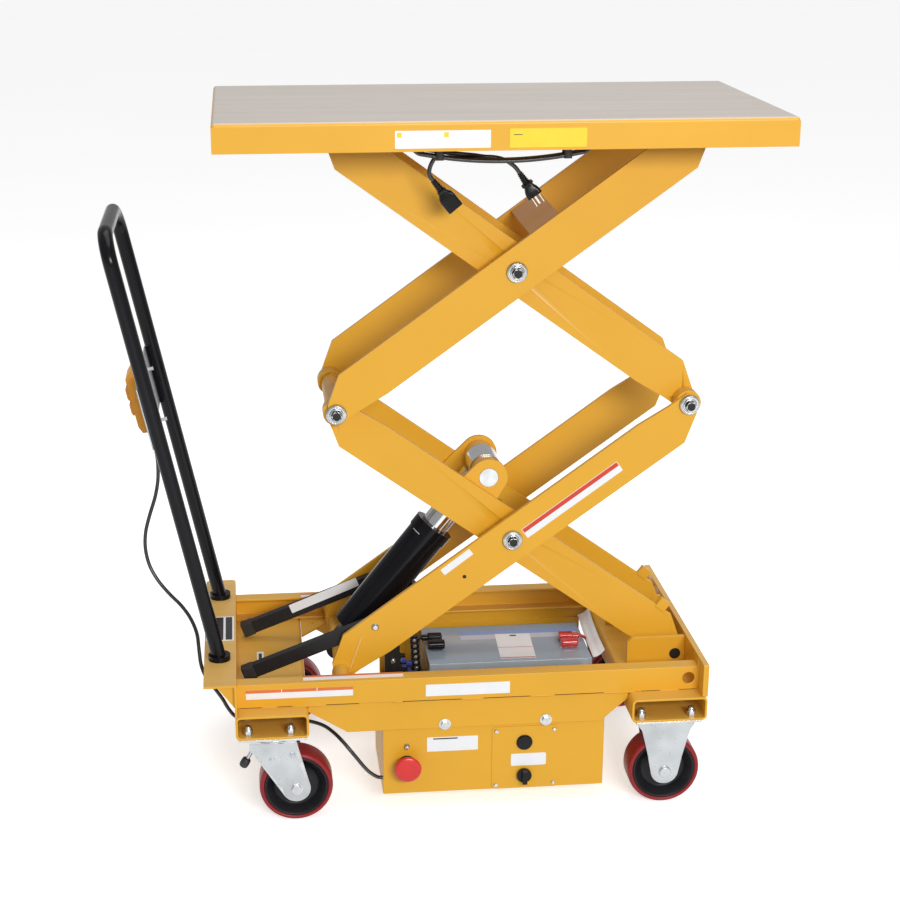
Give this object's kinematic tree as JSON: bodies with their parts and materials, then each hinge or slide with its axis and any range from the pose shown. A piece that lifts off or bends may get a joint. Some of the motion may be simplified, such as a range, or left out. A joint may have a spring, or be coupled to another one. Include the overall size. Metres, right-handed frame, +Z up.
{
  "type": "scissor lift table",
  "caption": "Battery-powered scissor lift table on casters: flat deck raised by crossed arms and one hydraulic cylinder, with a push handle and hand control.",
  "frame": {"origin": "on the floor below the middle of the whole table", "axes": "+X along the table away from the handle, +Y across it, +Z up"},
  "size_m": [1.0996, 0.5, 1.2011],
  "materials": {
    "yellow_paint": "satin",
    "black_paint": "gloss",
    "zinc": "satin",
    "black_steel": "satin",
    "chrome_rod": "polished",
    "orange_plastic": "satin",
    "black_plastic": "matte",
    "red_plastic": "gloss",
    "battery_case": "gloss",
    "tread_red": "satin",
    "hub_black": "satin",
    "cord_black": "satin",
    "pump_grey": "satin"
  },
  "bodies": {
    "base": {"base_rails": "yellow_paint", "caster_channels": "yellow_paint", "handle_shelf": "yellow_paint", "right_end_plate": "yellow_paint", "base_brackets": "yellow_paint", "base_pivot_shaft": "black_steel", "apron_plates": "yellow_paint", "battery_tray": "yellow_paint", "control_box": "yellow_paint", "access_panel": "yellow_paint", "pump_unit": "pump_grey", "battery": "battery_case", "black_boots": "black_plastic", "red_boots": "red_plastic", "relay_block": "black_plastic", "handle_tube": "black_paint", "pendant_bracket": "zinc", "pendant_case": "orange_plastic", "pendant_cord": "cord_black", "base_fasteners": "zinc", "caster_plates": "zinc", "rigid_forks": "zinc", "panel_fittings": "black_plastic"},
    "switch_knob": {"power_switch": "black_plastic"},
    "estop": {"estop_button": "red_plastic"},
    "up_key": {"up_button": "orange_plastic"},
    "down_key": {"down_button": "orange_plastic"},
    "swivel_near": {"swivel_fork_near": "zinc"},
    "swivel_far": {"swivel_fork_far": "zinc"},
    "brake_near": {"brake_lever_near": "black_steel"},
    "brake_far": {"brake_lever_far": "black_steel"},
    "wheel_left_near": {"hub_left_near": "hub_black", "tread_left_near": "tread_red"},
    "wheel_left_far": {"hub_left_far": "hub_black", "tread_left_far": "tread_red"},
    "wheel_right_near": {"hub_right_near": "hub_black", "tread_right_near": "tread_red"},
    "wheel_right_far": {"hub_right_far": "hub_black", "tread_right_far": "tread_red"},
    "inner_lower": {"inner_lower_arms": "yellow_paint", "cylinder_pin": "zinc", "elbow_tube_left": "yellow_paint", "left_pivot_bolts": "zinc"},
    "outer_lower": {"outer_lower_arms": "yellow_paint", "right_pivot_bolts": "zinc"},
    "base_roller_near": {"lower_roller_near": "zinc"},
    "base_roller_far": {"lower_roller_far": "zinc"},
    "inner_upper": {"inner_upper_arms": "yellow_paint"},
    "outer_upper": {"outer_upper_arms": "yellow_paint", "upper_pivot_bolts": "zinc"},
    "deck_roller": {"upper_rollers": "zinc"},
    "deck": {"deck_plate": "yellow_paint", "deck_rails": "yellow_paint", "lead_hank": "cord_black", "lead_plug": "black_plastic", "lead_connector": "black_plastic"},
    "barrel": {"cylinder_barrel": "black_steel"},
    "rod": {"cylinder_rod": "chrome_rod"},
    "prop_near": {"prop_near": "black_paint"},
    "prop_far": {"prop_far": "black_paint"}
  },
  "joints": [
    {"name": "lift", "type": "hinge", "parent": "base", "child": "inner_lower", "pos_m": [0.42883, 0, 0.233], "axis": [0, -1, 0], "range_deg": [0, 30]},
    {"name": "lower_cross", "type": "hinge", "parent": "inner_lower", "child": "outer_lower", "pos_m": [0.12859, 0, 0.46757], "axis": [0, 1, 0], "range_deg": [0, 60]},
    {"name": "left_elbow", "type": "hinge", "parent": "inner_lower", "child": "outer_upper", "pos_m": [-0.17164, 0, 0.70213], "axis": [0, 1, 0], "range_deg": [0, 60]},
    {"name": "upper_cross", "type": "hinge", "parent": "outer_upper", "child": "inner_upper", "pos_m": [0.12859, 0, 0.9367], "axis": [0, -1, 0], "range_deg": [0, 60]},
    {"name": "deck_pivot", "type": "hinge", "parent": "outer_upper", "child": "deck", "pos_m": [0.42883, 0, 1.17127], "axis": [0, -1, 0], "range_deg": [0, 30]},
    {"name": "barrel_foot", "type": "hinge", "parent": "outer_lower", "child": "barrel", "pos_m": [-0.17164, 0, 0.233], "axis": [0, -1, 0], "range_deg": [0, 2.32]},
    {"name": "rod_stroke", "type": "slide", "parent": "barrel", "child": "rod", "axis": [-0.6197, 0, -0.7849], "range_m": [0, 0.10574]},
    {"name": "prop_near_swing", "type": "hinge", "parent": "outer_lower", "child": "prop_near", "pos_m": [-0.10994, -0.098, 0.31483], "axis": [0, 1, 0], "range_deg": [0, 177.5]},
    {"name": "prop_far_swing", "type": "hinge", "parent": "outer_lower", "child": "prop_far", "pos_m": [-0.10994, 0.098, 0.31483], "axis": [0, 1, 0], "range_deg": [0, 177.5]},
    {"name": "base_roller_near_spin", "type": "hinge", "parent": "outer_lower", "child": "base_roller_near", "pos_m": [-0.17164, 0, 0.233], "axis": [0, 1, 0], "continuous": true},
    {"name": "base_roller_far_spin", "type": "hinge", "parent": "outer_lower", "child": "base_roller_far", "pos_m": [-0.17164, 0, 0.233], "axis": [0, 1, 0], "continuous": true},
    {"name": "deck_roller_spin", "type": "hinge", "parent": "inner_upper", "child": "deck_roller", "pos_m": [-0.17164, 0, 1.17127], "axis": [0, 1, 0], "continuous": true},
    {"name": "swivel_near_turn", "type": "hinge", "parent": "base", "child": "swivel_near", "pos_m": [-0.29417, -0.192, 0.166], "axis": [0, 0, 1], "continuous": true},
    {"name": "swivel_far_turn", "type": "hinge", "parent": "base", "child": "swivel_far", "pos_m": [-0.29417, 0.192, 0.166], "axis": [0, 0, 1], "continuous": true},
    {"name": "wheel_left_near_spin", "type": "hinge", "parent": "swivel_near", "child": "wheel_left_near", "pos_m": [-0.25567, -0.192, 0.0635], "axis": [0, 1, 0], "continuous": true},
    {"name": "wheel_left_far_spin", "type": "hinge", "parent": "swivel_far", "child": "wheel_left_far", "pos_m": [-0.25567, 0.192, 0.0635], "axis": [0, 1, 0], "continuous": true},
    {"name": "wheel_right_near_spin", "type": "hinge", "parent": "base", "child": "wheel_right_near", "pos_m": [0.38983, -0.192, 0.0635], "axis": [0, 1, 0], "continuous": true},
    {"name": "wheel_right_far_spin", "type": "hinge", "parent": "base", "child": "wheel_right_far", "pos_m": [0.38983, 0.192, 0.0635], "axis": [0, 1, 0], "continuous": true},
    {"name": "brake_near_press", "type": "hinge", "parent": "swivel_near", "child": "brake_near", "pos_m": [-0.32417, -0.192, 0.137], "axis": [0, -1, 0], "range_deg": [0, 16]},
    {"name": "brake_far_press", "type": "hinge", "parent": "swivel_far", "child": "brake_far", "pos_m": [-0.32417, 0.192, 0.137], "axis": [0, -1, 0], "range_deg": [0, 16]},
    {"name": "estop_press", "type": "slide", "parent": "base", "child": "estop", "axis": [0, 1, 0], "range_m": [0, 0.004]},
    {"name": "switch_turn", "type": "hinge", "parent": "base", "child": "switch_knob", "pos_m": [0.14363, -0.1967, 0.0578], "axis": [0, 1, 0], "range_deg": [0, 90]},
    {"name": "up_press", "type": "slide", "parent": "base", "child": "up_key", "axis": [0.9781, 0, 0.2079], "range_m": [0, 0.003], "stiffness_N_per_m": 400, "springref_m": -0.003},
    {"name": "down_press", "type": "slide", "parent": "base", "child": "down_key", "axis": [0.9781, 0, 0.2079], "range_m": [0, 0.003], "stiffness_N_per_m": 400, "springref_m": -0.003}
  ],
  "couplings": [
    {"joint": "lower_cross", "follows": "lift", "ratio": 2},
    {"joint": "left_elbow", "follows": "lift", "ratio": 2},
    {"joint": "upper_cross", "follows": "lift", "ratio": 2},
    {"joint": "deck_pivot", "follows": "lift", "ratio": 1},
    {"joint": "barrel_foot", "follows": "lift", "ratio": 0.074},
    {"joint": "rod_stroke", "follows": "lift", "m_per_rad": 0.201},
    {"joint": "prop_near_swing", "follows": "lift", "ratio": 5.9},
    {"joint": "prop_far_swing", "follows": "lift", "ratio": 5.9}
  ]
}
